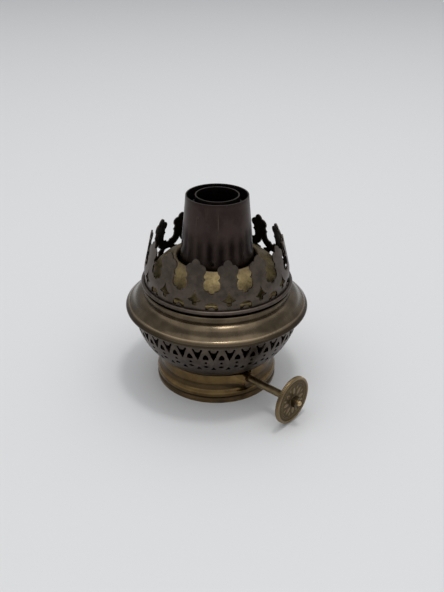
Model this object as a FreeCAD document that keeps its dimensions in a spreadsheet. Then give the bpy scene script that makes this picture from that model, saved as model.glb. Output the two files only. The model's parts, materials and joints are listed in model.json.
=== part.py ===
import FreeCAD, Part
import math
import os
import Sketcher

# A round-wick oil lamp burner.  Millimetres, +Z up.  The origin is on the burner's axis, level with
# the underside of the collar it stands on.  The front of the burner faces -Y.

# Driving dimensions, grouped by piece.
SIZES = {
    # sheet and fits
    "sheet_wall": 0.6,
    "solder_gap": 0.05,
    "running_gap": 0.06,
    # collar that goes on the oil font
    "collar_wall_radius": 23.9,
    "collar_lip_radius": 25.4,
    "collar_groove_radius": 24.5,
    "collar_lip_height": 1.2,
    "collar_groove_height": 1.9,
    "collar_bead_top": 5.8,
    "collar_cove_top": 8.4,
    "collar_height": 12.1,
    "collar_wall": 0.8,
    "cove_curve": 3.6,
    "bead_curve": 2.5,
    # threaded ring inside the collar, and the plate above it
    "thread_radius": 22.2,
    "thread_length": 3.2,
    "plate_bottom": 6.4,
    "plate_wall": 0.8,
    # wick tube, air tube and the slot between them
    "tube_top": 80.5,
    "tube_top_radius": 12.35,
    "tube_taper": 0.0948,
    "tube_wall": 0.5,
    "vent_radius": 0.9,
    "vent_height": 57.3,
    "vent_aside": -1.8,
    "air_top_radius": 8.67,
    "air_floor_height": 19.5,
    "inlet_angle": -14.0,
    "inlet_bottom": 22.0,
    "inlet_rise": 18.0,
    "inlet_width": 12.0,
    # cotton wick, rolled from a flat strip
    "wick_width": 65.0,
    "wick_wall": 1.9,
    "wick_slack": 0.9,
    "wick_bottom": 3.4,
    "wick_top": 76.0,
    # winder: its line runs beside the burner's axis
    "winder_angle": -41.4,
    "winder_aside": 7.8,
    "winder_height": 10.2,
    "shaft_radius": 1.55,
    "shaft_tip_radius": 1.1,
    "shaft_start": -9.4,
    "shaft_end": 50.7,
    "shaft_end_rise": 0.8,
    "knob_radius": 9.8,
    "knob_wall": 2.4,
    "knob_face": 47.2,
    "nut_side": 3.3,
    "nut_wall": 1.7,
    "wheel_tip_radius": 6.7,
    "wheel_root_radius": 5.4,
    "wheel_wall": 1.0,
    "wheel_offset": 4.0,
    "wheel_teeth": 16,
    "spacer_radius": 2.3,
    "stop_start": 8.6,
    "stop_wall": 1.6,
    "stop_radius": 2.5,
    "guide_radius": 2.9,
    "guide_root_radius": 9.0,
    "guide_flare": 7.0,
    "guide_start": 19.6,
    "guide_end": 25.2,
    "guide_bottom": 6.1,
    "bracket_reach": 8.2,
    "bracket_width": 6.0,
    "bracket_wall": 0.8,
    "bracket_bottom": 7.4,
    "rivet_radius": 0.6,
    "rivet_head_radius": 1.15,
    "rivet_head": 0.7,
    "rivet_place": 5.9,
    # pierced basket
    "basket_foot_radius": 23.7,
    "basket_foot_height": 12.15,
    "basket_top_radius": 34.4,
    "basket_top_height": 33.2,
    "basket_rim_radius": 36.4,
    "basket_wall": 0.6,
    "basket_motifs": 34,
    "basket_turn": -1.4,
    # perforated plate under the dome
    "draught_height": 31.6,
    "draught_wall": 0.6,
    "draught_hole": 1.2,
    "draught_holes": 24,
    # flange
    "flange_radius": 37.5,
    "flange_edge_height": 34.7,
    "flange_ring_radius": 30.25,
    "flange_ring_foot": 40.2,
    "flange_ring_top": 42.5,
    "neck_radius": 28.6,
    "neck_top": 45.3,
    # crown
    "crown_radius": 29.4,
    "crown_foot_height": 43.9,
    "crown_bead_middle": 29.95,
    "crown_bead_wire": 0.85,
    "crown_bead_height": 44.5,
    "crown_knee_height": 50.2,
    "crown_tip_radius": 26.2,
    "crown_top": 64.35,
    "crown_prongs": 14,
    "crown_turn": -16.1,
    # dome
    "dome_foot_radius": 28.7,
    "dome_foot_height": 45.4,
    "dome_hole_radius": 16.0,
    "dome_top": 55.6,
}

SHEET_NAME = "Sizes"
FULL_TURN = 360.0
UP = FreeCAD.Vector(0, 0, 1)
ORIGIN = FreeCAD.Vector(0, 0, 0)
# Heights in the pierced patterns are counted from the flange's edge.
PATTERN_BASE = SIZES["flange_edge_height"]


class Size:
    """A length with its number and the spreadsheet expression that gives it."""

    def __init__(self, value, text):
        self.value = value
        self.text = text

    def join(self, other, sign, value):
        return Size(value, "(%s %s %s)" % (self.text, sign, as_size(other).text))

    def __add__(self, other):
        return self.join(other, "+", self.value + as_size(other).value)

    def __sub__(self, other):
        return self.join(other, "-", self.value - as_size(other).value)

    def __mul__(self, other):
        return self.join(other, "*", self.value * as_size(other).value)

    def __neg__(self):
        return Size(-self.value, "(0 - %s)" % self.text)


def as_size(number):
    if isinstance(number, Size):
        return number
    return Size(float(number), repr(float(number)))


def size(name):
    """The named dimension, tied to its spreadsheet cell."""
    return Size(SIZES[name], "%s.%s" % (SHEET_NAME, name))


def fill_sheet(doc):
    sheet = doc.addObject("Spreadsheet::Sheet", SHEET_NAME)
    for row, (name, value) in enumerate(SIZES.items(), start=1):
        sheet.set("A%d" % row, name)
        sheet.set("B%d" % row, str(value))
        sheet.setAlias("B%d" % row, name)
    doc.recompute()


# ---------------------------------------------------------------- sketches and bodies


def origin_feature(body, role):
    return [item for item in body.Origin.OriginFeatures if item.Role == role][0]


def add_sketch(body, name, role="XZ_Plane"):
    sketch = body.newObject("Sketcher::SketchObject", name)
    sketch.AttachmentSupport = [(origin_feature(body, role), "")]
    sketch.MapMode = "FlatFace"
    return sketch


def bind(sketch, constraint, length):
    """Add one dimensional constraint and tie it to its expression."""
    index = sketch.addConstraint(constraint)
    sketch.setExpression("Constraints[%d]" % index, as_size(length).text)


def arc_through(start, end, radius, bulge):
    """The short arc of a given radius from start to end; bulge +1 swells to the left of the way."""
    chord = end - start
    side = FreeCAD.Vector(-chord.y, chord.x, 0).normalize() * bulge
    depth = math.sqrt(radius ** 2 - (chord.Length / 2) ** 2)
    centre = (start + end) * 0.5 - side * depth
    first, last = (end, start) if bulge > 0 else (start, end)
    angles = [math.atan2(spot.y - centre.y, spot.x - centre.x) for spot in (first, last)]
    return Part.ArcOfCircle(Part.Circle(centre, UP, radius), *angles)


def draw_outline(sketch, points, arcs=None):
    """A closed outline of straight edges; arcs maps an edge's number to its (radius, bulge)."""
    arcs = arcs or {}
    places = [FreeCAD.Vector(as_size(x).value, as_size(y).value, 0) for x, y in points]
    for number, start in enumerate(places):
        end = places[(number + 1) % len(places)]
        if number in arcs:
            radius, bulge = arcs[number]
            sketch.addGeometry(arc_through(start, end, as_size(radius).value, bulge))
        else:
            sketch.addGeometry(Part.LineSegment(start, end))
    ends = [edge_ends(sketch.Geometry[number], start) for number, start in enumerate(places)]
    for number in range(len(places)):
        following = (number + 1) % len(places)
        sketch.addConstraint(
            Sketcher.Constraint("Coincident", number, ends[number][1], following, ends[following][0]))
    for number, (across, up) in enumerate(points):
        pin_end(sketch, number, ends[number][0], across, up)
    for number, (radius, _) in arcs.items():
        bind(sketch, Sketcher.Constraint("Radius", number, as_size(radius).value), radius)


def edge_ends(edge, start):
    """Which end numbers of an edge are its start and its finish on the way round."""
    if edge.StartPoint.distanceToPoint(start) < edge.EndPoint.distanceToPoint(start):
        return 1, 2
    return 2, 1


def pin_end(sketch, edge, end, across, up):
    across = as_size(across)
    up = as_size(up)
    bind(sketch, Sketcher.Constraint("DistanceX", -1, 1, edge, end, across.value), across)
    bind(sketch, Sketcher.Constraint("DistanceY", -1, 1, edge, end, up.value), up)


def draw_circle(sketch, across, up, radius):
    across = as_size(across)
    up = as_size(up)
    centre = FreeCAD.Vector(across.value, up.value, 0)
    number = sketch.addGeometry(Part.Circle(centre, FreeCAD.Vector(0, 0, 1), as_size(radius).value))
    bind(sketch, Sketcher.Constraint("DistanceX", -1, 1, number, 3, across.value), across)
    bind(sketch, Sketcher.Constraint("DistanceY", -1, 1, number, 3, up.value), up)
    bind(sketch, Sketcher.Constraint("Radius", number, as_size(radius).value), radius)


def new_body(doc, label, placement=None):
    body = doc.addObject("PartDesign::Body", label)
    body.Label = label
    body.Placement = placement or FreeCAD.Placement()
    return body


def turn_outline(body, points, arcs=None, name="Profile"):
    """Revolve a radius-height outline about the body's own Z axis."""
    sketch = add_sketch(body, name + "Sketch")
    draw_outline(sketch, points, arcs)
    turned = body.newObject("PartDesign::Revolution", name)
    turned.Profile = sketch
    turned.ReferenceAxis = (sketch, ["V_Axis"])
    turned.Angle = FULL_TURN
    sketch.Visibility = False
    body.Document.recompute()
    return turned


def turned_body(doc, label, points, arcs=None, placement=None):
    body = new_body(doc, label, placement)
    turn_outline(body, points, arcs)
    return body


def pad(body, sketch, length, name):
    feature = body.newObject("PartDesign::Pad", name)
    feature.Profile = sketch
    feature.setExpression("Length", as_size(length).text)
    body.Document.recompute()
    return feature


def pocket(body, sketch, length, name, reverse=False):
    """A pocket of a set depth; it has to remove material, whichever way it points."""
    before = body.Shape.Volume
    feature = body.newObject("PartDesign::Pocket", name)
    feature.Profile = sketch
    feature.setExpression("Length", as_size(length).text)
    feature.Reversed = reverse
    body.Document.recompute()
    if body.Shape.Volume > before - 1e-6:
        raise RuntimeError("%s in %s cuts nothing" % (name, body.Label))
    return feature


def repeat_round(body, features, count, role="Z_Axis", name="Round"):
    pattern = body.newObject("PartDesign::PolarPattern", name)
    pattern.Originals = features
    pattern.Axis = (origin_feature(body, role), [""])
    pattern.Angle = FULL_TURN
    pattern.setExpression("Occurrences", as_size(count).text)
    body.Tip = pattern
    body.Document.recompute()
    return pattern


# ---------------------------------------------------------------- primitives


def primitive(doc, kind, name, **lengths):
    item = doc.addObject("Part::" + kind, name)
    for key, length in lengths.items():
        item.setExpression(key, as_size(length).text)
    return item


def combine(doc, kind, name, base, tool):
    item = doc.addObject("Part::" + kind, name)
    item.Base = base
    item.Tool = tool
    return item


def place(item, x=0.0, y=0.0, z=0.0, turn=0.0):
    """Move an item in the frame that is turned about the burner's axis."""
    rotation = FreeCAD.Rotation(UP, turn)
    item.Placement = FreeCAD.Placement(rotation.multVec(FreeCAD.Vector(x, y, z)), rotation)
    return item


def along_winder(distance):
    """The placement whose Z axis is the winder's line, at a distance from its middle."""
    spin = FreeCAD.Rotation(UP, SIZES["winder_angle"])
    tilt = FreeCAD.Rotation(FreeCAD.Vector(0, 1, 0), 90)
    middle = FreeCAD.Vector(distance, -SIZES["winder_aside"], SIZES["winder_height"])
    return FreeCAD.Placement(spin.multVec(middle), spin.multiply(tilt))


def tube_radius(height, top_radius="tube_top_radius"):
    """Outer radius of the tapering tube at a height."""
    rise = size("tube_top") - height
    return size(top_radius) + size("tube_taper") * rise


def cone(doc, name, top_radius, offset, bottom, top):
    """A solid cone that follows the tube's taper, offset from the named tube's outer face."""
    item = primitive(doc, "Cone", name, Radius1=tube_radius(bottom, top_radius) + offset,
                     Radius2=tube_radius(top, top_radius) + offset,
                     Height=as_size(top) - bottom)
    return place(item, z=as_size(bottom).value)


# ---------------------------------------------------------------- spun sheet


def point(radius, height):
    return FreeCAD.Vector(radius, 0, height)


def sheet_path(start, *steps):
    """A wire from straight steps (end) and curved steps (middle, end), as radius-height pairs."""
    edges = []
    here = point(*start)
    for step in steps:
        if isinstance(step[0], tuple):
            middle, end = point(*step[0]), point(*step[1])
            edges.append(Part.Arc(here, middle, end).toShape())
        else:
            end = point(*step)
            edges.append(Part.LineSegment(here, end).toShape())
        here = end
    return Part.Wire(edges)


def spin_sheet(path, wall):
    """Thicken a sheet's outer path inwards and turn it about the burner's axis."""
    section = path.makeOffset2D(wall, 0, True, True, False)
    return section.revolve(ORIGIN, UP, FULL_TURN)


def pattern_prism(outline, inner, outer):
    """A hole's tool: an outline in the front plane, pushed outwards along +X."""
    face = Part.Face(Part.Wire(outline))
    face.translate(FreeCAD.Vector(inner, 0, 0))
    return face.extrude(FreeCAD.Vector(outer - inner, 0, 0))


def spot(across, height):
    """A point of a pierced pattern: across to the right of its middle, height above the edge."""
    return FreeCAD.Vector(0, across, PATTERN_BASE + height)


def closed_outline(start, *steps):
    """Edges of a closed pattern outline, with the same steps as a sheet's path."""
    edges = []
    here = spot(*start)
    for step in steps + (start,):
        if isinstance(step[0], tuple):
            middle, end = spot(*step[0]), spot(*step[1])
            edges.append(Part.Arc(here, middle, end).toShape())
        else:
            end = spot(*step)
            if end.distanceToPoint(here) > 1e-6:
                edges.append(Part.LineSegment(here, end).toShape())
        here = end
    return edges


def mirrored_outline(*steps):
    """A closed outline from its right-hand half, which runs from its foot up to its top."""
    left = []
    path = list(steps)
    ends = [step[1] if isinstance(step[0], tuple) else step for step in path]
    for number in range(len(path) - 1, 0, -1):
        target = (-ends[number - 1][0], ends[number - 1][1])
        if isinstance(path[number][0], tuple):
            middle = path[number][0]
            left.append(((-middle[0], middle[1]), target))
        else:
            left.append(target)
    if abs(ends[-1][0]) > 1e-6:
        left.insert(0, (-ends[-1][0], ends[-1][1]))
    return closed_outline(path[0], *path[1:], *left)


def circle_outline(across, height, radius):
    axis = FreeCAD.Vector(1, 0, 0)
    return [Part.Circle(spot(across, height), axis, radius).toShape()]


def ring_of_tools(tools, count, first):
    """Copies of the tools round the axis; the first set faces first degrees right of the front."""
    copies = []
    for number in range(count):
        angle = first - 90 + number * FULL_TURN / count
        for tool in tools:
            copy = tool.copy()
            copy.rotate(ORIGIN, UP, angle)
            copies.append(copy)
    return copies


def shape_feature(doc, label, shape):
    item = doc.addObject("Part::Feature", label)
    item.Label = label
    item.Shape = shape
    item.Placement = FreeCAD.Placement()
    return item


# ---------------------------------------------------------------- collar, ring, plate


def make_base_collar(doc):
    wall = size("collar_wall")
    lip = size("collar_lip_radius")
    groove = size("collar_groove_radius")
    outside = size("collar_wall_radius")
    bead_top = size("collar_bead_top")
    height = size("collar_height")
    points = [
        (lip - wall, 0), (lip, 0), (lip, size("collar_lip_height")),
        (groove, size("collar_groove_height")), (groove, bead_top), (outside, size("collar_cove_top")),
        (outside, height), (outside - wall, height), (outside - wall, size("thread_length")),
        (groove - wall, size("thread_length")), (groove - wall, 0.4),
    ]
    arcs = {3: (size("bead_curve"), -1), 4: (size("cove_curve"), 1)}
    body = turned_body(doc, "base_collar_blank", points, arcs)
    hole = upright_box(doc, "collar_hole", SIZES["guide_start"], 8.0, size("guide_radius"),
                       size("guide_bottom"), height + 1)
    collar = combine(doc, "Cut", "base_collar", body, hole)
    collar.Label = "base_collar"
    return collar


def make_thread_ring(doc):
    """The ring that screws on the oil font.  Its thread is a plain bore."""
    outside = size("collar_groove_radius") - size("collar_wall")
    bore = size("thread_radius")
    length = size("thread_length")
    points = [(bore, 0), (outside, 0), (outside, length), (bore, length)]
    return turned_body(doc, "thread_ring", points)


def make_base_plate(doc):
    """Flat ring that closes the collar round the wick tube."""
    bottom = size("plate_bottom")
    inner = tube_radius(bottom)
    outside = size("collar_wall_radius") - size("collar_wall")
    top = bottom + size("plate_wall")
    points = [(inner, bottom), (outside, bottom), (outside, top), (inner, top)]
    return turned_body(doc, "base_plate", points)


# ---------------------------------------------------------------- tubes and wick


def inlet_box(doc, name, spare, start, reach):
    """A box along the air inlet's line; spare is how much smaller it is on each side."""
    width = size("inlet_width")
    box = primitive(doc, "Box", name, Length=as_size(reach), Width=width - 2 * spare,
                    Height=size("inlet_rise") - 2 * spare)
    return place(box, x=start, y=-width.value / 2 + spare, z=SIZES["inlet_bottom"] + spare,
                 turn=SIZES["inlet_angle"])


def make_wick_tube(doc):
    bottom = size("plate_bottom")
    top = size("tube_top")
    outer = cone(doc, "wick_tube_outside", "tube_top_radius", 0, bottom, top)
    inner = cone(doc, "wick_tube_inside", "tube_top_radius", -size("tube_wall"), bottom - 1, top + 1)
    shell = combine(doc, "Cut", "wick_tube_shell", outer, inner)
    window = inlet_box(doc, "wick_tube_window", 0, 5.0, 20.0)
    open_shell = combine(doc, "Cut", "wick_tube_open", shell, window)
    hole = primitive(doc, "Cylinder", "wick_tube_shaft_hole", Radius=size("shaft_radius") + 0.5,
                     Height=as_size(20.0))
    hole.Placement = along_winder(5.0)
    drilled = combine(doc, "Cut", "wick_tube_drilled", open_shell, hole)
    vent = primitive(doc, "Cylinder", "wick_tube_vent", Radius=size("vent_radius"), Height=as_size(8.0))
    vent.Placement = FreeCAD.Placement(FreeCAD.Vector(SIZES["vent_aside"], -10, SIZES["vent_height"]),
                                       FreeCAD.Rotation(FreeCAD.Vector(1, 0, 0), 90))
    tube = combine(doc, "Cut", "wick_tube", drilled, vent)
    tube.Label = "wick_tube"
    return tube


def make_air_tube(doc):
    """Inner tube, closed at its foot, that leads air up the middle of the flame."""
    floor = size("air_floor_height")
    wall = size("tube_wall")
    outer = cone(doc, "air_tube_outside", "air_top_radius", 0, floor, size("tube_top"))
    inner = cone(doc, "air_tube_inside", "air_top_radius", -wall, floor + wall, size("tube_top") + 1)
    shell = combine(doc, "Cut", "air_tube_shell", outer, inner)
    window = inlet_box(doc, "air_tube_window", SIZES["tube_wall"], 5.0, 20.0)
    open_shell = combine(doc, "Cut", "air_tube_open", shell, window)
    holes = rivet_cylinders(doc, "air_tube_rivet_holes", "rivet_radius", SIZES["air_floor_height"] - 1, 3.0)
    tube = combine(doc, "Cut", "air_tube", open_shell, holes)
    tube.Label = "air_tube"
    return tube


def make_air_inlet(doc):
    """Square duct that crosses the wick's gap, from the basket to the air tube."""
    wall = SIZES["tube_wall"]
    outside = inlet_box(doc, "air_inlet_outside", 0, 8.0, 14.0)
    inside = inlet_box(doc, "air_inlet_inside", wall, 7.0, 16.0)
    duct = combine(doc, "Cut", "air_inlet_duct", outside, inside)
    limit = cone(doc, "air_inlet_limit", "tube_top_radius", 0, size("air_floor_height"), size("tube_top"))
    trimmed = combine(doc, "Common", "air_inlet_trimmed", duct, limit)
    centre = cone(doc, "air_inlet_centre", "air_top_radius", 0, size("air_floor_height"),
                  size("tube_top"))
    inlet = combine(doc, "Cut", "air_inlet", trimmed, centre)
    inlet.Label = "air_inlet"
    return inlet


def wick_gap_half(height):
    """Half the wick's gap at a height: the flat strip is too narrow to close round the cone."""
    middle = (SIZES["tube_top_radius"] + SIZES["tube_taper"] * (SIZES["tube_top"] - height)
              - SIZES["tube_wall"] - SIZES["wick_slack"] - SIZES["wick_wall"] / 2)
    return middle * math.sin(math.pi - SIZES["wick_width"] / (2 * middle))


def make_wick(doc):
    bottom = size("wick_bottom")
    top = size("wick_top")
    slack = size("tube_wall") + size("wick_slack")
    wall = size("wick_wall")
    low = tube_radius(bottom) - slack
    high = tube_radius(top) - slack
    points = [(low - wall, bottom), (low, bottom), (high, top), (high - wall, top)]
    body = turned_body(doc, "wick", points, placement=place_turn(SIZES["inlet_angle"]))
    gap = add_sketch(body, "GapSketch", "YZ_Plane")
    levels = [SIZES["wick_bottom"] - 1, 10.0, 26.0, 42.0, 58.0, 70.0, SIZES["wick_top"]]
    right = [(wick_gap_half(level), level) for level in levels]
    right.append((right[-1][0], SIZES["wick_top"] + 1))
    left = [(-across, level) for across, level in reversed(right)]
    draw_outline(gap, right + left)
    pocket(body, gap, 25.0, "Gap", reverse=True)
    return body


def place_turn(angle):
    return FreeCAD.Placement(ORIGIN, FreeCAD.Rotation(UP, angle))


# ---------------------------------------------------------------- winder


def upright_box(doc, name, start, reach, half_width, bottom, top):
    """A box along the winder's line, between two heights."""
    box = primitive(doc, "Box", name, Length=as_size(reach), Width=as_size(half_width) * 2,
                    Height=as_size(top) - bottom)
    return place(box, x=start, y=-SIZES["winder_aside"] - as_size(half_width).value,
                 z=as_size(bottom).value, turn=SIZES["winder_angle"])


def make_shaft_guide(doc, collar):
    """Snout on the collar that the shaft comes out of; it flares into the wall and is flat above."""
    reach = size("guide_end") - size("guide_start")
    radius = size("guide_radius")
    root = size("guide_root_radius")
    middle = (SIZES["guide_bottom"] + SIZES["collar_height"]) / 2 - SIZES["winder_height"]
    where = along_winder(SIZES["guide_start"])
    where.Base.z += middle
    points = [(0, 0), (root, 0), (radius, reach * 0.88), (radius, reach), (0, reach)]
    snout = turned_body(doc, "guide_snout", points, {1: (size("guide_flare"), 1)}, where)
    limit = upright_box(doc, "guide_limit", SIZES["guide_start"] - 1, 9.0, 10.0, size("guide_bottom"),
                        size("collar_height"))
    inside = primitive(doc, "Cylinder", "guide_inside", Height=size("collar_height") + 1,
                       Radius=size("collar_wall_radius") - size("collar_wall"))
    bore = primitive(doc, "Cylinder", "guide_bore", Radius=size("shaft_radius") + size("running_gap"),
                     Height=as_size(12.0))
    bore.Placement = along_winder(SIZES["guide_start"] - 3)
    guide = combine(doc, "Common", "guide_blank", snout, limit)
    for number, tool in enumerate((collar, inside, bore)):
        guide = combine(doc, "Cut", "shaft_guide_cut%d" % number, guide, tool)
    guide.Label = "shaft_guide"
    return guide


def make_winder_shaft(doc):
    """Round shaft, turned down where it passes through the knob and its nut."""
    radius = size("shaft_radius")
    start = 0
    end = size("shaft_end") - size("shaft_start")
    tip = size("shaft_tip_radius")
    rise = SIZES["shaft_end_rise"]
    shoulder = size("knob_face") - size("knob_wall") - size("shaft_start")
    points = [(0, start), (radius - 0.3, start), (radius, 0.3), (radius, shoulder), (tip, shoulder),
              (tip, end - rise), (0, end)]
    arcs = {5: (as_size((SIZES["shaft_tip_radius"] ** 2 + rise ** 2) / (2 * rise)), -1)}
    return turned_body(doc, "winder_shaft", points, arcs, along_winder(SIZES["shaft_start"]))


def make_winder_knob(doc):
    """Flat knob with a raised rim, a raised ring and a small boss."""
    bore = size("shaft_tip_radius")
    rim = size("knob_radius")
    wall = size("knob_wall")
    points = [
        (bore, 0), (4.0, 0), (4.2, 0.5), (rim - 0.9, 0.5), (rim, 0.9), (rim, wall - 0.35),
        (rim - 0.35, wall), (rim - 0.9, wall), (rim - 1.1, wall - 0.3), (rim - 2.2, wall - 0.3),
        (rim - 2.4, wall - 0.05), (rim - 2.9, wall - 0.05), (rim - 3.1, wall - 0.3), (3.0, wall - 0.3),
        (2.6, wall), (bore, wall),
    ]
    return turned_body(doc, "winder_knob", points,
                       placement=along_winder(SIZES["knob_face"] - SIZES["knob_wall"]))


def make_knob_nut(doc):
    body = new_body(doc, "knob_nut", along_winder(SIZES["knob_face"]))
    sketch = add_sketch(body, "NutSketch", "XY_Plane")
    half = size("nut_side") * 0.5
    draw_outline(sketch, [(-half, -half), (half, -half), (half, half), (-half, half)])
    pad(body, sketch, size("nut_wall"), "Nut")
    bore = add_sketch(body, "BoreSketch", "XY_Plane")
    draw_circle(bore, 0, 0, size("shaft_tip_radius"))
    pocket(body, bore, size("nut_wall"), "Bore", reverse=True)
    return body


def make_spur_wheel(doc, label, distance):
    """A disc with pointed teeth that bite into the wick."""
    wall = size("wheel_wall")
    body = new_body(doc, label, along_winder(distance - SIZES["wheel_wall"] / 2))
    disc = add_sketch(body, "DiscSketch", "XY_Plane")
    draw_circle(disc, 0, 0, size("wheel_root_radius"))
    draw_circle(disc, 0, 0, size("shaft_radius"))
    pad(body, disc, wall, "Disc")
    tooth = add_sketch(body, "ToothSketch", "XY_Plane")
    root = size("wheel_root_radius")
    draw_outline(tooth, [(root - 0.4, -0.95), (size("wheel_tip_radius"), 0), (root - 0.4, 0.95)])
    spike = pad(body, tooth, wall, "Tooth")
    repeat_round(body, [spike], size("wheel_teeth"))
    return body


def make_ring_on_shaft(doc, label, start, length, radius):
    bore = size("shaft_radius")
    points = [(bore, 0), (radius, 0), (radius, length), (bore, length)]
    return turned_body(doc, label, points, placement=along_winder(start))


def rivet_spots():
    return [along_winder(side * SIZES["rivet_place"]).Base for side in (-1, 1)]


def rivet_cylinders(doc, name, radius_name, bottom, height):
    """Two upright cylinders where the bracket is riveted to the air tube's floor."""
    rods = []
    for number, base in enumerate(rivet_spots()):
        rod = primitive(doc, "Cylinder", "%s_%d" % (name, number), Radius=size(radius_name),
                        Height=as_size(height))
        rod.Placement.Base = FreeCAD.Vector(base.x, base.y, bottom)
        rods.append(rod)
    return combine(doc, "Fuse", name, rods[0], rods[1])


def make_winder_bracket(doc):
    """U-shaped bracket under the air tube; its two ears carry the shaft's inner end."""
    reach = size("bracket_reach")
    width = size("bracket_width")
    wall = size("bracket_wall")
    top = size("air_floor_height")
    bottom = size("bracket_bottom")
    outside = primitive(doc, "Box", "bracket_outside", Length=reach * 2, Width=width, Height=top - bottom)
    inside = primitive(doc, "Box", "bracket_inside", Length=(reach - wall) * 2, Width=width + 2,
                       Height=top - bottom)
    corner_y = -SIZES["winder_aside"] - SIZES["bracket_width"] / 2
    place(outside, -SIZES["bracket_reach"], corner_y, SIZES["bracket_bottom"], SIZES["winder_angle"])
    place(inside, -SIZES["bracket_reach"] + SIZES["bracket_wall"], corner_y - 1,
          SIZES["bracket_bottom"] - SIZES["bracket_wall"], SIZES["winder_angle"])
    channel = combine(doc, "Cut", "bracket_channel", outside, inside)
    bore = primitive(doc, "Cylinder", "bracket_bore", Radius=size("shaft_radius") + size("running_gap"),
                     Height=as_size(20.0))
    bore.Placement = along_winder(-10.0)
    bored = combine(doc, "Cut", "bracket_bored", channel, bore)
    holes = rivet_cylinders(doc, "bracket_rivet_holes", "rivet_radius", SIZES["air_floor_height"] - 2, 3.0)
    bracket = combine(doc, "Cut", "winder_bracket", bored, holes)
    bracket.Label = "winder_bracket"
    return bracket


def make_bracket_rivets(doc):
    """Two rivets, each a shank with a head above the floor and a head below the bracket."""
    floor = SIZES["air_floor_height"]
    below = floor - SIZES["bracket_wall"]
    above = floor + SIZES["tube_wall"]
    head = SIZES["rivet_head"]
    rivets = []
    for base in rivet_spots():
        foot = FreeCAD.Vector(base.x, base.y, below - head)
        shank = Part.makeCylinder(SIZES["rivet_radius"], above - below + 2 * head, foot)
        low_head = Part.makeCylinder(SIZES["rivet_head_radius"], head, foot)
        high_head = Part.makeCylinder(SIZES["rivet_head_radius"], head,
                                      FreeCAD.Vector(base.x, base.y, above))
        rivets.append(shank.fuse([low_head, high_head]).removeSplitter())
    return shape_feature(doc, "bracket_rivets", Part.makeCompound(rivets))


# ---------------------------------------------------------------- basket and plate


def basket_holes():
    """One motif of the basket: a notched V, an arch window, a dot, a lens and a foot triangle."""
    vee = mirrored_outline((0, -9.4), (0.95, -7.2), ((1.5, -5.4), (2.05, -4.3)),
                           ((1.7, -3.7), (1.15, -4.2)), ((0.8, -4.8), (0.0, -5.1)))
    foot = closed_outline((-1.1, -15.15), (0, -13.2), (1.1, -15.15))
    at_arch = FULL_TURN / SIZES["basket_motifs"] / 2
    window = mirrored_outline((0, -8.9), (1.1, -8.9), ((0.9, -7.2), (0, -6.1)))
    dot = circle_outline(0, -10.7, 0.6)
    lens = closed_outline((-1.05, -13.15), ((0, -12.55), (1.05, -13.15)), ((0, -13.8), (-1.05, -13.15)))
    straight = [pattern_prism(outline, 15, 45) for outline in (vee, foot)]
    turned = [pattern_prism(outline, 15, 45) for outline in (window, dot, lens)]
    for tool in turned:
        tool.rotate(ORIGIN, UP, at_arch)
    return straight + turned


def make_basket(doc):
    foot_radius = SIZES["basket_foot_radius"]
    foot = SIZES["basket_foot_height"]
    top_radius = SIZES["basket_top_radius"]
    top = SIZES["basket_top_height"]
    path = sheet_path((foot_radius, foot), ((31.05, 20.8), (top_radius - 0.1, top - 1.6)),
                      ((top_radius + 0.2, top - 0.5), (top_radius + 1.3, top)),
                      (SIZES["basket_rim_radius"], top + 0.3))
    bowl = spin_sheet(path, SIZES["basket_wall"])
    tools = ring_of_tools(basket_holes(), SIZES["basket_motifs"], SIZES["basket_turn"])
    return shape_feature(doc, "basket", bowl.cut(tools))


def make_draught_plate(doc):
    """Perforated plate that steadies the wick tube and spreads the rising air."""
    height = size("draught_height")
    inner = tube_radius(height) + size("solder_gap")
    outer = size("basket_top_radius") - size("basket_wall") - 0.75
    top = height + size("draught_wall")
    body = turned_body(doc, "draught_plate", [(inner, height), (outer, height), (outer, top), (inner, top)])
    rows = []
    for number, radius in enumerate((20.0, 24.0, 28.0)):
        sketch = add_sketch(body, "HoleSketch%d" % number, "XY_Plane")
        turn = math.radians(number * FULL_TURN / SIZES["draught_holes"] / 2)
        draw_circle(sketch, radius * math.cos(turn), radius * math.sin(turn), size("draught_hole"))
        rows.append(pocket(body, sketch, 40.0, "Hole%d" % number, reverse=True))
    repeat_round(body, rows, size("draught_holes"))
    return body


# ---------------------------------------------------------------- flange, crown, dome


def make_flange(doc):
    edge = SIZES["flange_radius"]
    level = SIZES["flange_edge_height"]
    ring = SIZES["flange_ring_radius"]
    ring_foot = SIZES["flange_ring_foot"]
    ring_top = SIZES["flange_ring_top"]
    neck = SIZES["neck_radius"]
    path = sheet_path(
        (edge - 0.3, level - 1.3),
        ((edge, level - 0.6), (edge - 0.3, level - 0.1)),
        (edge - 1.2, level + 0.65),
        ((edge - 1.41, level + 0.86), (edge - 1.65, level + 1.0)),
        (edge - 2.0, level + 1.15),
        ((edge - 3.05, level + 2.05), (edge - 3.8, level + 3.1)),
        ((edge - 5.2, level + 4.6), (ring, ring_foot)),
        (ring, ring_top - 0.3),
        (ring - 0.3, ring_top),
        (neck, ring_top + 0.2),
        (neck, SIZES["neck_top"]),
    )
    return shape_feature(doc, "flange", spin_sheet(path, SIZES["sheet_wall"]))


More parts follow.
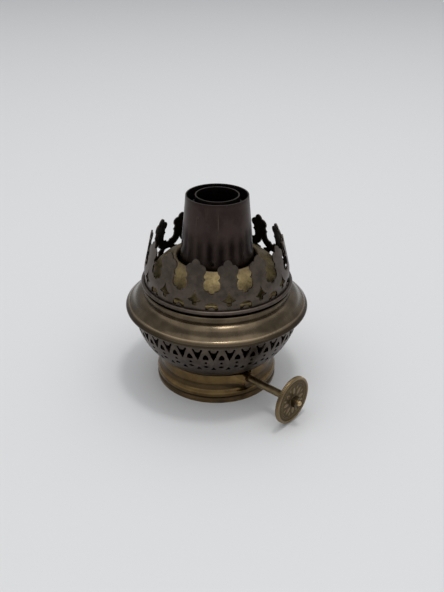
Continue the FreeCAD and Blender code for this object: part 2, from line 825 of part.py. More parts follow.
def crown_holes():
    """One step of the crown: the space between two prongs, and the holes in its band."""
    between = mirrored_outline(
        (0, 17.3), ((0.85, 17.45), (1.05, 18.2)), ((2.6, 18.6), (3.1, 20.3)),
        ((3.0, 21.5), (2.35, 22.3)), ((2.95, 23.1), (2.85, 24.1)), ((2.15, 25.3), (2.3, 26.6)),
        ((2.9, 27.25), (4.3, 27.65)), ((4.75, 28.95), (5.9, 29.5)), (6.3, 29.5), (6.3, 32.0))
    bean = mirrored_outline((0, 12.0), ((0.75, 11.75), (1.15, 11.1)), ((1.95, 10.7), (2.45, 11.5)),
                            ((1.9, 13.35), (0, 13.9)))
    arch = mirrored_outline((0, 12.4), ((0.75, 12.6), (0.9, 13.5)), (0.9, 13.95),
                            ((1.8, 14.2), (2.75, 14.75)), ((0.95, 16.2), (0, 18.8)))
    half_step = FULL_TURN / SIZES["crown_prongs"] / 2
    tools = [pattern_prism(outline, 18, 40) for outline in (between, bean)]
    for tool in tools:
        tool.rotate(ORIGIN, UP, half_step)
    return tools + [pattern_prism(arch, 18, 40)]


def make_crown(doc):
    """Springy crown that grips the glass chimney: a pierced band with bent-in prongs."""
    radius = SIZES["crown_radius"]
    knee = SIZES["crown_knee_height"]
    path = sheet_path((radius, SIZES["crown_foot_height"]), (radius, knee - 0.8),
                      ((radius - 0.08, knee + 0.3), (radius - 0.3, knee + 1.4)),
                      (SIZES["crown_tip_radius"], SIZES["crown_top"]))
    band = spin_sheet(path, SIZES["sheet_wall"])
    bead = Part.makeTorus(SIZES["crown_bead_middle"], SIZES["crown_bead_wire"],
                          FreeCAD.Vector(0, 0, SIZES["crown_bead_height"]), UP)
    tools = ring_of_tools(crown_holes(), SIZES["crown_prongs"], SIZES["crown_turn"])
    return shape_feature(doc, "crown", band.fuse(bead).cut(tools))


def make_dome(doc):
    """Spun dome that bends the draught onto the flame; the chimney's foot rests on its slope."""
    foot_radius = SIZES["dome_foot_radius"]
    foot = SIZES["dome_foot_height"]
    hole = SIZES["dome_hole_radius"]
    top = SIZES["dome_top"]
    path = sheet_path((foot_radius, foot + 0.6), (28.0, foot + 0.65), ((27.2, foot + 1.0), (26.9, foot + 1.9)),
                      ((25.0, 49.9), (19.4, 54.3)), (hole + 1.3, top),
                      ((hole + 0.35, top - 0.35), (hole, top - 1.2)), (hole, top - 1.9))
    return shape_feature(doc, "dome", spin_sheet(path, SIZES["sheet_wall"]))


# ---------------------------------------------------------------- document


def make_parts(doc):
    offset = SIZES["wheel_offset"]
    wall = SIZES["wheel_wall"]
    spacer = size("wheel_offset") * 2 - size("wheel_wall")
    collar = make_base_collar(doc)
    return [
        collar,
        make_thread_ring(doc),
        make_base_plate(doc),
        make_wick_tube(doc),
        make_air_tube(doc),
        make_air_inlet(doc),
        make_wick(doc),
        make_shaft_guide(doc, collar),
        make_winder_bracket(doc),
        make_bracket_rivets(doc),
        make_winder_shaft(doc),
        make_winder_knob(doc),
        make_knob_nut(doc),
        make_spur_wheel(doc, "spur_wheel_near", offset),
        make_spur_wheel(doc, "spur_wheel_far", -offset),
        make_ring_on_shaft(doc, "wheel_spacer", -offset + wall / 2, spacer, size("spacer_radius")),
        make_ring_on_shaft(doc, "shaft_stop_ring", SIZES["stop_start"], size("stop_wall"),
                           size("stop_radius")),
        make_basket(doc),
        make_draught_plate(doc),
        make_flange(doc),
        make_crown(doc),
        make_dome(doc),
    ]


def check(doc, parts):
    for item in doc.Objects:
        bad = [word for word in item.State if word in ("Invalid", "Error")]
        if bad:
            raise RuntimeError("%s is %s" % (item.Label, ", ".join(bad)))
    for part in parts:
        if part.Shape.isNull() or not part.Shape.isValid():
            raise RuntimeError("%s has no valid shape" % part.Label)


def main():
    doc = FreeCAD.newDocument("Burner")
    fill_sheet(doc)
    parts = make_parts(doc)
    doc.recompute()
    check(doc, parts)
    os.makedirs("parts", exist_ok=True)
    for part in parts:
        part.Shape.exportStep("parts/%s.step" % part.Label)
        box = part.Shape.BoundBox
        print("%-16s solids %d volume %9.2f  z %.2f to %.2f"
              % (part.Label, len(part.Shape.Solids), part.Shape.Volume, box.ZMin, box.ZMax))


main()
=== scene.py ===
import json
import math
import random

import bpy
from mathutils import Matrix, Vector
from mathutils.kdtree import KDTree


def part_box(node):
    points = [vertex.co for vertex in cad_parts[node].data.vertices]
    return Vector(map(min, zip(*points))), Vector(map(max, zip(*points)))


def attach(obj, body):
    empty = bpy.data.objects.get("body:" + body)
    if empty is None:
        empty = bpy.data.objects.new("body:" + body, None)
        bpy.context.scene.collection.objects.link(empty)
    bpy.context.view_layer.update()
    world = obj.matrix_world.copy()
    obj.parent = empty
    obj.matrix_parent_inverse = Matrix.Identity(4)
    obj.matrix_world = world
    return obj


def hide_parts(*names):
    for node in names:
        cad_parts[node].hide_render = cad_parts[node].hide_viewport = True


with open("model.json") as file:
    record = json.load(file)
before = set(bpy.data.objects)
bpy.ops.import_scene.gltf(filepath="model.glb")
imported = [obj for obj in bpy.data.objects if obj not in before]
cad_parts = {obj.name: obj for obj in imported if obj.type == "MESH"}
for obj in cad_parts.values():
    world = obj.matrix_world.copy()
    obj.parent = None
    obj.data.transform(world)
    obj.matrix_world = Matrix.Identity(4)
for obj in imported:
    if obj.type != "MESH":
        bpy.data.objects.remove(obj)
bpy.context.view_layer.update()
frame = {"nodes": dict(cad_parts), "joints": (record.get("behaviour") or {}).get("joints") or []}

bl_info = {
    "name": "Lamp Burner Dresser",
    "version": (1, 0, 0),
    "blender": (4, 5, 0),
    "location": "View3D > Sidebar > Burner",
    "description": "Dresses a round-wick lamp burner in worn brass and sets it on a table",
    "category": "Object",
}

MM = 0.001
KNOB_BORE = 1.1 * MM
KNOB_FACE_DEPTH = 0.3 * MM
RING_RADIUS = 7.0 * MM
RING_HALF_WIDTH = 0.16 * MM
PEARLS = 60
PEARL_CIRCLE_RADIUS = 7.65 * MM
PEARL_RADIUS = 0.27 * MM


def cad_low(node):
    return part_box(node)[0]


def cad_high(node):
    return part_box(node)[1]


# ---------------------------------------------------------------- where the CAD puts things

WINDER_JOINT = [joint for joint in frame["joints"] if joint["name"] == "winder_turn"][0]
WINDER_OUT = -Vector(WINDER_JOINT["axis"]).normalized()
WINDER_MIDDLE = Vector(WINDER_JOINT["pos_m"])


def reach_along_winder(node):
    """The nearest and farthest distance of a node's points along the winder's line."""
    mesh = frame["nodes"][node].data
    reaches = [(vertex.co - WINDER_MIDDLE).dot(WINDER_OUT) for vertex in mesh.vertices]
    return min(reaches), max(reaches)


def winder_matrix(distance):
    """Places a piece that was made round +Z on the winder's line, with its top facing outwards."""
    turn = WINDER_OUT.to_track_quat("Z", "Y").to_matrix().to_4x4()
    return Matrix.Translation(WINDER_MIDDLE + WINDER_OUT * distance) @ turn


# ---------------------------------------------------------------- what a user would change


class BurnerMetalSettings(bpy.types.PropertyGroup):
    tube_colour: bpy.props.FloatVectorProperty(
        name="Tube patina", description="Dark patina of the wick tube", subtype="COLOR", size=3,
        min=0, max=1, default=(0.052, 0.037, 0.033))
    crown_colour: bpy.props.FloatVectorProperty(
        name="Crown bronze", description="Grey-brown bronzing of the crown and basket", subtype="COLOR",
        size=3, min=0, max=1, default=(0.098, 0.078, 0.064))
    flange_colour: bpy.props.FloatVectorProperty(
        name="Flange bronze", description="Olive bronzing of the flange", subtype="COLOR", size=3,
        min=0, max=1, default=(0.118, 0.090, 0.058))
    collar_colour: bpy.props.FloatVectorProperty(
        name="Collar brass", description="Golden brass of the collar", subtype="COLOR", size=3,
        min=0, max=1, default=(0.175, 0.114, 0.048))
    dome_colour: bpy.props.FloatVectorProperty(
        name="Dome brass", description="Dull yellow brass of the dome", subtype="COLOR", size=3,
        min=0, max=1, default=(0.215, 0.164, 0.078))
    winder_colour: bpy.props.FloatVectorProperty(
        name="Winder brass", description="Antique brass of the shaft and knob", subtype="COLOR", size=3,
        min=0, max=1, default=(0.190, 0.140, 0.076))


class BurnerKnobSettings(bpy.types.PropertyGroup):
    teeth: bpy.props.IntProperty(
        name="Milling", description="Number of ridges round the knob's edge", default=84, min=24,
        max=160)
    tooth_depth: bpy.props.FloatProperty(
        name="Milling depth", description="Depth of the grooves between the ridges", default=0.30 * MM,
        unit="LENGTH", precision=5)
    petals: bpy.props.IntProperty(
        name="Petals", description="Number of leaves in the embossed rosette", default=8, min=3, max=16)
    relief: bpy.props.FloatProperty(
        name="Relief", description="Height of the embossing", default=0.28 * MM, unit="LENGTH",
        precision=5)


class BurnerWickSettings(bpy.types.PropertyGroup):
    width: bpy.props.FloatProperty(
        name="Flat width", description="Width of the flat strip that is rolled into the wick",
        default=65 * MM, unit="LENGTH", precision=5)
    char_depth: bpy.props.FloatProperty(
        name="Char depth", description="Depth of the burnt edge", default=3.5 * MM, unit="LENGTH",
        precision=5)


class BurnerStageSettings(bpy.types.PropertyGroup):
    floor_shade: bpy.props.FloatProperty(
        name="Floor shade", description="Brightness of the pale floor", default=0.72, min=0, max=1,
        subtype="FACTOR")
    lens: bpy.props.FloatProperty(
        name="Lens", description="Focal length of the camera", default=43.65, min=10, max=200,
        subtype="DISTANCE_CAMERA")


# ---------------------------------------------------------------- modelling by hand, in code


def select_nothing():
    if bpy.context.object and bpy.context.object.mode != "OBJECT":
        bpy.ops.object.mode_set(mode="OBJECT")
    bpy.ops.object.select_all(action="DESELECT")


def select_only(piece):
    select_nothing()
    piece.select_set(True)
    bpy.context.view_layer.objects.active = piece


def settle(piece, matrix=None):
    """Moves a finished piece to its place and applies the move to its mesh."""
    select_only(piece)
    if matrix is not None:
        piece.matrix_world = matrix @ piece.matrix_world
    bpy.ops.object.transform_apply(location=True, rotation=True, scale=True)


def smooth(piece, degrees=30):
    select_only(piece)
    bpy.ops.object.shade_smooth_by_angle(angle=math.radians(degrees))


def apply_modifiers(piece):
    select_only(piece)
    for modifier in list(piece.modifiers):
        bpy.ops.object.modifier_apply(modifier=modifier.name)


def spun_ring(name, outline, steps):
    """A closed outline of (radius, height) points spun into a ring about the Z axis."""
    select_nothing()
    bpy.ops.mesh.primitive_circle_add(vertices=len(outline), radius=MM)
    piece = bpy.context.object
    piece.name = name
    for vertex, (radius, height) in zip(piece.data.vertices, outline):
        vertex.co = (radius, 0, height)
    bpy.ops.object.mode_set(mode="EDIT")
    bpy.ops.mesh.select_all(action="SELECT")
    bpy.ops.mesh.spin(steps=steps, angle=math.tau, center=(0, 0, 0), axis=(0, 0, 1))
    bpy.ops.mesh.select_all(action="SELECT")
    bpy.ops.mesh.remove_doubles(threshold=MM * 0.001)
    bpy.ops.mesh.normals_make_consistent(inside=False)
    bpy.ops.object.mode_set(mode="OBJECT")
    return piece


def corner_shading(mesh):
    """A search tree of face middles, and each face's corners with their shading normals."""
    tree = KDTree(len(mesh.polygons))
    corners = []
    for face in mesh.polygons:
        tree.insert(face.center, face.index)
        corners.append([(mesh.vertices[mesh.loops[corner].vertex_index].co.copy(),
                         mesh.corner_normals[corner].vector.copy()) for corner in face.loop_indices])
    tree.balance()
    return tree, corners


def restore_shading(mesh, tree, corners):
    """Gives a welded mesh the shading normals that its faces had while they were loose."""
    normals = [Vector((0, 0, 1))] * len(mesh.loops)
    for face in mesh.polygons:
        known = corners[tree.find(face.center)[1]]
        for corner in face.loop_indices:
            spot = mesh.vertices[mesh.loops[corner].vertex_index].co
            normals[corner] = min(known, key=lambda item: (item[0] - spot).length)[1]
    mesh.normals_split_custom_set(normals)


def copy_of_node(node, name):
    """A welded copy of a CAD node's mesh, which may be reshaped and keeps its shading."""
    select_nothing()
    piece = frame["nodes"][node].copy()
    piece.data = piece.data.copy()
    piece.name = name
    piece.parent = None
    for key in [key for key in piece.keys() if key.startswith("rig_")]:
        del piece[key]
    bpy.context.scene.collection.objects.link(piece)
    shading = corner_shading(piece.data)
    select_only(piece)
    bpy.ops.object.mode_set(mode="EDIT")
    bpy.ops.mesh.select_all(action="SELECT")
    bpy.ops.mesh.remove_doubles(threshold=MM * 0.002)
    bpy.ops.object.mode_set(mode="OBJECT")
    restore_shading(piece.data, *shading)
    return piece


def finish_piece(piece, body, material, slot, *nodes):
    piece.data.materials.clear()
    piece.data.materials.append(material)
    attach(piece, body)
    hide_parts(*nodes)


# ---------------------------------------------------------------- shader maths


class Signal:
    """A number that runs through a material's nodes, so that shader maths reads as arithmetic."""

    def __init__(self, paint, socket):
        self.paint = paint
        self.socket = socket

    def maths(self, operation, *terms):
        return self.paint.node("ShaderNodeMath", {"operation": operation}, terms)

    def __add__(self, other):
        return self.maths("ADD", self, other)

    def __radd__(self, other):
        return self.maths("ADD", other, self)

    def __sub__(self, other):
        return self.maths("SUBTRACT", self, other)

    def __rsub__(self, other):
        return self.maths("SUBTRACT", other, self)

    def __mul__(self, other):
        return self.maths("MULTIPLY", self, other)

    def __rmul__(self, other):
        return self.maths("MULTIPLY", other, self)

    def __truediv__(self, other):
        return self.maths("DIVIDE", self, other)

    def __pow__(self, other):
        return self.maths("POWER", self, other)

    def between(self, low, high):
        """0 below low, 1 above high, and a smooth step between them."""
        return self.paint.node("ShaderNodeMapRange", {"interpolation_type": "SMOOTHSTEP"},
                               {"Value": self, "From Min": low, "From Max": high})

    def within(self, low, high, edge):
        """1 between low and high, fading to 0 over the edge on both sides."""
        return self.between(low - edge, low) * (1 - self.between(high, high + edge))

    def sine(self):
        return self.maths("SINE", self)


class Paint:
    """A material under construction round one Principled shader."""

    def __init__(self, name, metallic=1.0):
        self.material = bpy.data.materials.new(name)
        self.material.use_nodes = True
        self.tree = self.material.node_tree
        self.shader = self.tree.nodes["Principled BSDF"]
        self.shader.inputs["Metallic"].default_value = metallic
        self.place = self.node("ShaderNodeTexCoord", {}, (), "Object")

    def node(self, kind, settings, inputs, output=0):
        made = self.tree.nodes.new(kind)
        for key, value in settings.items():
            setattr(made, key, value)
        pairs = inputs.items() if isinstance(inputs, dict) else enumerate(inputs)
        for key, value in pairs:
            self.feed(made.inputs[key], value)
        return Signal(self, made.outputs[output])

    def feed(self, socket, value):
        if isinstance(value, Signal):
            self.tree.links.new(value.socket, socket)
        else:
            socket.default_value = value

    def set(self, name, value):
        self.feed(self.shader.inputs[name], value)

    def blend(self, amount, first, second, how="MIX"):
        """One colour over another; either may be a plain (r, g, b)."""
        first, second = [c if isinstance(c, Signal) else (*c, 1.0) for c in (first, second)]
        return self.node("ShaderNodeMix", {"data_type": "RGBA", "blend_type": how},
                         {0: amount, 6: first, 7: second}, 2)

    def stretch(self, across, along, up):
        """Object coordinates scaled by axis, for grain that runs one way."""
        return self.node("ShaderNodeMapping", {}, {"Vector": self.place, "Scale": (across, along, up)})

    def axis(self, name):
        return self.node("ShaderNodeSeparateXYZ", {}, [self.place], name)

    def radius(self):
        """Distance from the burner's own axis."""
        return (self.axis("X") ** 2 + self.axis("Y") ** 2) ** 0.5

    def noise(self, scale, detail=4.0, roughness=0.55, where=None):
        return self.node("ShaderNodeTexNoise", {},
                         {"Vector": where or self.place, "Scale": scale, "Detail": detail,
                          "Roughness": roughness}, "Fac")

    def pits(self, scale, where=None):
        """Distance to the nearest of a scatter of points."""
        return self.node("ShaderNodeTexVoronoi", {}, {"Vector": where or self.place, "Scale": scale},
                         "Distance")

    def lathe_marks(self, fineness):
        """Fine rings left by spinning the sheet, which wander a little."""
        ring = self.node("ShaderNodeCombineXYZ", {}, [self.radius(), 0.0, self.axis("Z")])
        return self.noise(fineness, 2.0, 0.7, ring)

    def bump(self, height, distance, strength=1.0):
        surface = self.node("ShaderNodeBump", {}, {"Strength": strength, "Distance": distance,
                                                   "Height": height})
        self.set("Normal", surface)


def lighter(colour, factor):
    return tuple(min(1.0, channel * factor) for channel in colour)


# ---------------------------------------------------------------- finishes


def bronzed_sheet(name, colour, cloud_size, rough, worn, shade_attribute=None):
    """Bronzed brass sheet: cloudy patina, small dark spots, faint spinning marks, painted shade where
    an attribute marks it.
    """
    paint = Paint(name)
    cloud = paint.noise(cloud_size, 5.0, 0.6)
    bloom = paint.noise(cloud_size * 0.35, 3.0, 0.5)
    marks = paint.lathe_marks(9000.0)
    spots = 1 - paint.pits(520.0).between(0.06, 0.16)
    flecks = paint.noise(1500.0, 3.0, 0.6).between(0.66, 0.76)
    base = paint.blend(cloud.between(0.30, 0.72), lighter(colour, 0.72), lighter(colour, 1.18))
    base = paint.blend(bloom.between(0.55, 0.75) * worn, base, lighter(colour, 1.6))
    base = paint.blend(spots * 0.45, base, lighter(colour, 0.35))
    base = paint.blend(flecks * 0.30, base, lighter(colour, 2.2))
    # Painted shade: nearly black where the attribute marks the sheet's inner side.
    if shade_attribute:
        darkening = paint.node("ShaderNodeAttribute", {"attribute_name": shade_attribute}, (), "Fac")
        base = paint.blend(darkening * 0.9, base, lighter(colour, 0.10))
    paint.set("Base Color", base)
    paint.set("Roughness", rough + (cloud - 0.5) * 0.22 + spots * 0.18 + (marks - 0.5) * 0.10)
    paint.bump(marks * 0.35 + cloud * 0.8 - spots * 0.6, 0.00003)
    return paint.material


def flange_bronze(colour):
    """Olive bronzing, with painted shade on the turned-down rim and a painted highlight on the ridge
    above it.
    """
    paint = Paint("flange_bronze")
    cloud = paint.noise(150.0, 5.0, 0.6)
    smear = paint.noise(1.0, 4.0, 0.6, paint.stretch(60.0, 60.0, 300.0))
    marks = paint.lathe_marks(9000.0)
    spots = 1 - paint.pits(520.0).between(0.05, 0.13)
    radius = paint.radius()
    # Masks for painted shade on the turned-down rim and a painted highlight on the ridge above it.
    rim = radius.between(36.35 * MM, 36.75 * MM)
    ridge = radius.within(35.9 * MM, 36.2 * MM, 0.18 * MM)
    base = paint.blend(cloud.between(0.30, 0.72), lighter(colour, 0.66), lighter(colour, 1.15))
    base = paint.blend(smear.between(0.52, 0.72) * 0.5, base, lighter(colour, 0.52))
    base = paint.blend(spots * 0.4, base, lighter(colour, 0.35))
    # Painted shade on the rim, then a painted highlight along the ridge.
    base = paint.blend(rim * 0.85, base, lighter(colour, 0.38))
    base = paint.blend(ridge * (0.5 + cloud * 0.5), base, lighter(colour, 2.1))
    paint.set("Base Color", base)
    paint.set("Roughness", 0.24 + (cloud - 0.5) * 0.16 + spots * 0.18 + (smear - 0.5) * 0.14)
    paint.bump(marks * 0.35 + cloud * 0.8 - spots * 0.6, 0.00003)
    return paint.material


def crown_bronze(colour):
    """The crown's bronzing, with painted shade turning the side that faces the flame nearly black."""
    return bronzed_sheet("crown_bronze", colour, 260.0, 0.40, 0.5, shade_attribute="inside")


def tube_patina(colour):
    """Heat-darkened tube: a painted reflection in lighter bands that run up it, a sooty rim and a few
    bare scratches.
    """
    paint = Paint("tube_patina")
    streak = paint.noise(1.0, 4.0, 0.6, paint.stretch(420.0, 420.0, 38.0))
    cloud = paint.noise(140.0, 5.0, 0.6)
    scratch = paint.noise(1.0, 2.0, 0.5, paint.stretch(900.0, 900.0, 60.0)).between(0.70, 0.74)
    height = paint.axis("Z")
    # Soot darkens the tube towards its top.
    darkening = height.between(0.060, 0.0815) * 0.35 + height.between(0.0785, 0.0805) * 0.5
    base = paint.blend(cloud.between(0.32, 0.70), lighter(colour, 0.75), lighter(colour, 1.25))
    # Painted reflection: the streaks lighten the tube in bands that run up it.
    base = paint.blend(streak.between(0.50, 0.75) * 0.5, base, (0.085, 0.063, 0.044))
    base = paint.blend(darkening * cloud, base, lighter(colour, 0.35))
    base = paint.blend(scratch * 0.35, base, (0.15, 0.115, 0.085))
    paint.set("Base Color", base)
    paint.set("Roughness", 0.34 + (streak - 0.5) * 0.25 + darkening * 0.12)
    paint.bump(streak * 0.15 + cloud, 0.00002)
    return paint.material


def collar_brass(colour):
    """Golden brass that has dulled, with painted shade darkest in the cove and the groove."""
    paint = Paint("collar_brass")
    cloud = paint.noise(190.0, 5.0, 0.62)
    marks = paint.lathe_marks(7000.0)
    stains = paint.noise(1.0, 4.0, 0.6, paint.stretch(150.0, 150.0, 420.0)).between(0.52, 0.70)
    height = paint.axis("Z")
    # Painted shade in the cove and the groove, nearly black.
    painted_recess_shade = height.within(0.0060, 0.0079, 0.0007) * 0.75 + height.within(0.0013, 0.0019, 0.0004) * 0.9
    base = paint.blend(cloud.between(0.30, 0.72), lighter(colour, 0.70), lighter(colour, 1.12))
    base = paint.blend(stains * 0.45, base, (0.070, 0.049, 0.036))
    base = paint.blend(painted_recess_shade * (0.55 + cloud * 0.45), base, (0.022, 0.016, 0.013))
    paint.set("Base Color", base)
    paint.set("Roughness", 0.16 + (cloud - 0.5) * 0.14 + stains * 0.10 + painted_recess_shade * 0.20)
    paint.bump(marks * 0.35 + cloud * 0.9, 0.00004)
    return paint.material


def dome_brass(colour):
    """Dull, unbronzed brass with heat blotches and a mottled skin."""
    paint = Paint("dome_brass")
    blotch = paint.noise(230.0, 5.0, 0.65)
    mottle = paint.noise(900.0, 4.0, 0.6)
    radius = paint.radius()
    heat = 1 - radius.between(0.0165, 0.0215)
    base = paint.blend(blotch.between(0.34, 0.66), lighter(colour, 0.62), lighter(colour, 1.1))
    base = paint.blend(mottle.between(0.52, 0.68) * 0.4, base, lighter(colour, 0.5))
    stains = paint.noise(420.0, 5.0, 0.7).between(0.50, 0.66)
    base = paint.blend(stains * 0.6, base, (0.085, 0.060, 0.038))
    base = paint.blend(heat * 0.55 * blotch.between(0.2, 0.6), base, (0.090, 0.064, 0.044))
    paint.set("Base Color", base)
    paint.set("Roughness", 0.50 + (blotch - 0.5) * 0.25 + (mottle - 0.5) * 0.15)
    paint.bump(mottle * 0.7 + blotch, 0.00006)
    return paint.material


def antique_brass(name, colour, rough):
    """Tarnished brass: cloudy, with dark spots and a little bare grain."""
    paint = Paint(name)
    cloud = paint.noise(300.0, 5.0, 0.6)
    grain = paint.noise(1600.0, 3.0, 0.6)
    spots = 1 - paint.pits(700.0).between(0.08, 0.20)
    base = paint.blend(cloud.between(0.32, 0.70), lighter(colour, 0.66), lighter(colour, 1.25))
    base = paint.blend(spots * 0.4, base, lighter(colour, 0.35))
    base = paint.blend(grain.between(0.60, 0.72) * 0.25, base, lighter(colour, 1.9))
    paint.set("Base Color", base)
    paint.set("Roughness", rough + (cloud - 0.5) * 0.24 + spots * 0.15)
    paint.bump(grain * 0.5 + cloud, 0.00004)
    return paint.material


def knob_brass(colour, face, tip):
    """Handled brass of knob and shaft: dirt in the embossing, bare where fingers rub, a painted
    highlight at the shaft's end.
    """
    paint = Paint("winder_brass")
    cloud = paint.noise(300.0, 5.0, 0.6)
    grain = paint.noise(1600.0, 3.0, 0.6)
    out = WINDER_OUT
    along = (paint.axis("X") - WINDER_MIDDLE.x) * out.x + (paint.axis("Y") - WINDER_MIDDLE.y) * out.y
    aside = (paint.axis("X") - WINDER_MIDDLE.x) * out.y - (paint.axis("Y") - WINDER_MIDDLE.y) * out.x
    distance = (aside ** 2 + (paint.axis("Z") - WINDER_MIDDLE.z) ** 2) ** 0.5
    raised = along.between(face + 0.03 * MM, face + 0.26 * MM)
    near_face = along.between(face - 0.2 * MM, face - 0.05 * MM)
    on_face = near_face * (1 - distance.between(8.6 * MM, 9.0 * MM))
    edge = along.between(face - 2.3 * MM, face - 1.8 * MM) * distance.between(8.5 * MM, 9.3 * MM)
    base = paint.blend(cloud.between(0.32, 0.70), lighter(colour, 0.66), lighter(colour, 1.2))
    base = paint.blend(on_face * (1 - raised), base, lighter(colour, 0.55))
    base = paint.blend(on_face * raised * 0.5, base, lighter(colour, 1.35))
    base = paint.blend(edge * (0.35 + grain * 0.5), base, lighter(colour, 1.35))
    # Painted highlight: the shaft's end beyond the nut is made much lighter.
    base = paint.blend(along.between(tip, tip + 0.2 * MM) * 0.8, base, lighter(colour, 3.0))
    paint.set("Base Color", base)
    paint.set("Roughness", 0.32 + (cloud - 0.5) * 0.24 + on_face * (1 - raised) * 0.25)
    paint.bump(grain * 0.5 + cloud, 0.00004)
    return paint.material


def plain_steel():
    paint = Paint("wheel_steel")
    cloud = paint.noise(500.0, 4.0, 0.6)
    rust = paint.noise(900.0, 5.0, 0.7).between(0.58, 0.74)
    base = paint.blend(cloud, (0.30, 0.30, 0.29), (0.46, 0.45, 0.43))
    paint.set("Base Color", paint.blend(rust * 0.6, base, (0.17, 0.085, 0.045)))
    paint.set("Roughness", 0.38 + rust * 0.30 + (cloud - 0.5) * 0.15)
    paint.bump(cloud + rust, 0.00004)
    return paint.material


def wick_cotton(char_depth):
    """Flat woven cotton: warp cords across its width, fine picks, and a burnt edge."""
    paint = Paint("wick_cotton", metallic=0.0)
    flat = paint.node("ShaderNodeUVMap", {"uv_map": "UVMap"}, ())
    across = paint.node("ShaderNodeSeparateXYZ", {}, [flat], "X")
    along = paint.node("ShaderNodeSeparateXYZ", {}, [flat], "Y")
    cords = (across * (math.tau * 44)).sine() * 0.5 + 0.5
    picks = (along * (math.tau * 110)).sine() * 0.5 + 0.5
    fuzz = paint.noise(2500.0, 4.0, 0.7)
    top = cad_high("wick").z
    char = paint.axis("Z").between(top - char_depth, top - char_depth * 0.35)
    oil = paint.noise(160.0, 4.0, 0.6)
    base = paint.blend(cords, (0.46, 0.41, 0.31), (0.68, 0.63, 0.52))
    base = paint.blend(oil.between(0.4, 0.65) * 0.4, base, (0.40, 0.33, 0.20))
    soaked = 1 - paint.axis("Z").between(top - 20 * MM, top - 8 * MM)
    base = paint.blend(soaked, base, (0.060, 0.045, 0.028))
    base = paint.blend(char, base, (0.012, 0.010, 0.009))
    paint.set("Base Color", base)
    paint.set("Roughness", 0.92 - char * 0.1 + (fuzz - 0.5) * 0.1)
    paint.bump(cords * 0.8 + picks * 0.5 + fuzz * 0.6, 0.0002)
    return paint.material


def floor_paint(shade):
    paint = Paint("pale_table", metallic=0.0)
    cloud = paint.noise(3.0, 3.0, 0.5)
    base = paint.blend(cloud, (shade * 0.985, shade * 0.985, shade * 0.985), (shade, shade, shade))
    paint.set("Base Color", base)
    paint.shader.inputs["Roughness"].default_value = 0.55
    paint.shader.inputs["Specular IOR Level"].default_value = 0.25
    return paint.material


# ---------------------------------------------------------------- pieces


FIXED_FINISHES = {
    "tube": ("wick_tube", "air_tube"),
    "collar": ("base_collar", "shaft_guide"),
    "flange": ("flange",),
    "dome": ("dome",),
    "basket": ("basket",),
    "crown": ("crown",),
    "inner": ("thread_ring", "base_plate", "air_inlet", "winder_bracket", "bracket_rivets",
              "draught_plate", "wheel_spacer", "shaft_stop_ring"),
    "winder": ("winder_shaft", "winder_knob"),
    "nut": ("knob_nut",),
    "steel": ("spur_wheel_near", "spur_wheel_far"),
}


class BURNER_OT_finish_metal(bpy.types.Operator):
    """Give every fixed and turning metal piece its worn finish"""

    bl_idname = "burner.finish_metal"
    bl_label = "Finish the Metal"

    def execute(self, context):
        metal = context.scene.burner_metal
        basket_colour = lighter(metal.crown_colour, 0.95)
        knob_face = reach_along_winder("winder_knob")[1] - KNOB_FACE_DEPTH
        nut_end = reach_along_winder("knob_nut")[1]
        materials = {
            "tube": tube_patina(metal.tube_colour),
            "collar": collar_brass(metal.collar_colour),
            "flange": flange_bronze(metal.flange_colour),
            "dome": dome_brass(metal.dome_colour),
            "basket": bronzed_sheet("basket_bronze", basket_colour, 240.0, 0.38, 0.4),
            "crown": crown_bronze(metal.crown_colour),
            "inner": antique_brass("inner_brass", lighter(metal.dome_colour, 0.8), 0.5),
            "winder": knob_brass(metal.winder_colour, knob_face, nut_end),
            "nut": antique_brass("nut_brass", lighter(metal.winder_colour, 0.5), 0.42),
            "steel": plain_steel(),
        }
        for finish, nodes in FIXED_FINISHES.items():
            for node in nodes:
                piece = frame["nodes"][node]
                piece.data.materials.clear()
                piece.data.materials.append(materials[finish])
        return {"FINISHED"}


def knob_outline(radius, low, high):
    """Half section of the knob, from its bore round the back and edge to the face's middle."""
    back = low + 0.5 * MM
    face = high - KNOB_FACE_DEPTH
    outline = [
        (KNOB_BORE, low), (4.0 * MM, low), (4.3 * MM, back), (radius - 0.9 * MM, back),
        (radius - 0.15 * MM, back + 0.3 * MM), (radius, back + 0.45 * MM), (radius, high - 0.4 * MM),
        (radius - 0.15 * MM, high - 0.12 * MM), (radius - 0.4 * MM, high), (radius - 0.75 * MM, high),
        (radius - 1.0 * MM, high - 0.1 * MM), (radius - 1.15 * MM, face),
    ]
    rings = 34
    inner = 2.2 * MM
    outer = radius - 1.3 * MM
    outline += [(outer + (inner - outer) * step / rings, face) for step in range(rings + 1)]
    return outline + [(2.0 * MM, high - 0.1 * MM), (KNOB_BORE, high - 0.1 * MM)]


def rosette_height(distance, angle, petals):
    """Relief of the knob's face, 0 to 1: leaves round the middle, a plain ring, a ring of pearls."""
    turn = math.tau / petals
    off_leaf = (angle + turn / 2) % turn - turn / 2
    off_bud = angle % turn - turn / 2
    leaf = leaf_shape(distance, off_leaf, 2.7 * MM, 6.2 * MM, 0.95 * MM)
    bud = leaf_shape(distance, off_bud, 4.7 * MM, 6.6 * MM, 0.55 * MM)
    ring = max(0.0, 1 - ((distance - RING_RADIUS) / RING_HALF_WIDTH) ** 2) * 0.8
    pearl_turn = math.tau / PEARLS
    off_pearl = (angle % pearl_turn - pearl_turn / 2) * distance
    off_circle = distance - PEARL_CIRCLE_RADIUS
    pearl = max(0.0, 1 - (off_pearl ** 2 + off_circle ** 2) / PEARL_RADIUS ** 2) ** 0.5 * 0.8
    return max(leaf, bud, ring, pearl)


def leaf_shape(distance, off, start, end, half_width):
    """A pointed leaf with a vein, along one radius."""
    along = (distance - start) / (end - start)
    if not 0 < along < 1:
        return 0.0
    edge = half_width * math.sin(math.pi * along) ** 0.7
    across = abs(off * distance) / edge
    if across >= 1:
        return 0.0
    vein = 0.45 * max(0.0, 1 - across / 0.22)
    return (1 - across ** 2) ** 0.5 * 0.85 - vein * math.sin(math.pi * along)


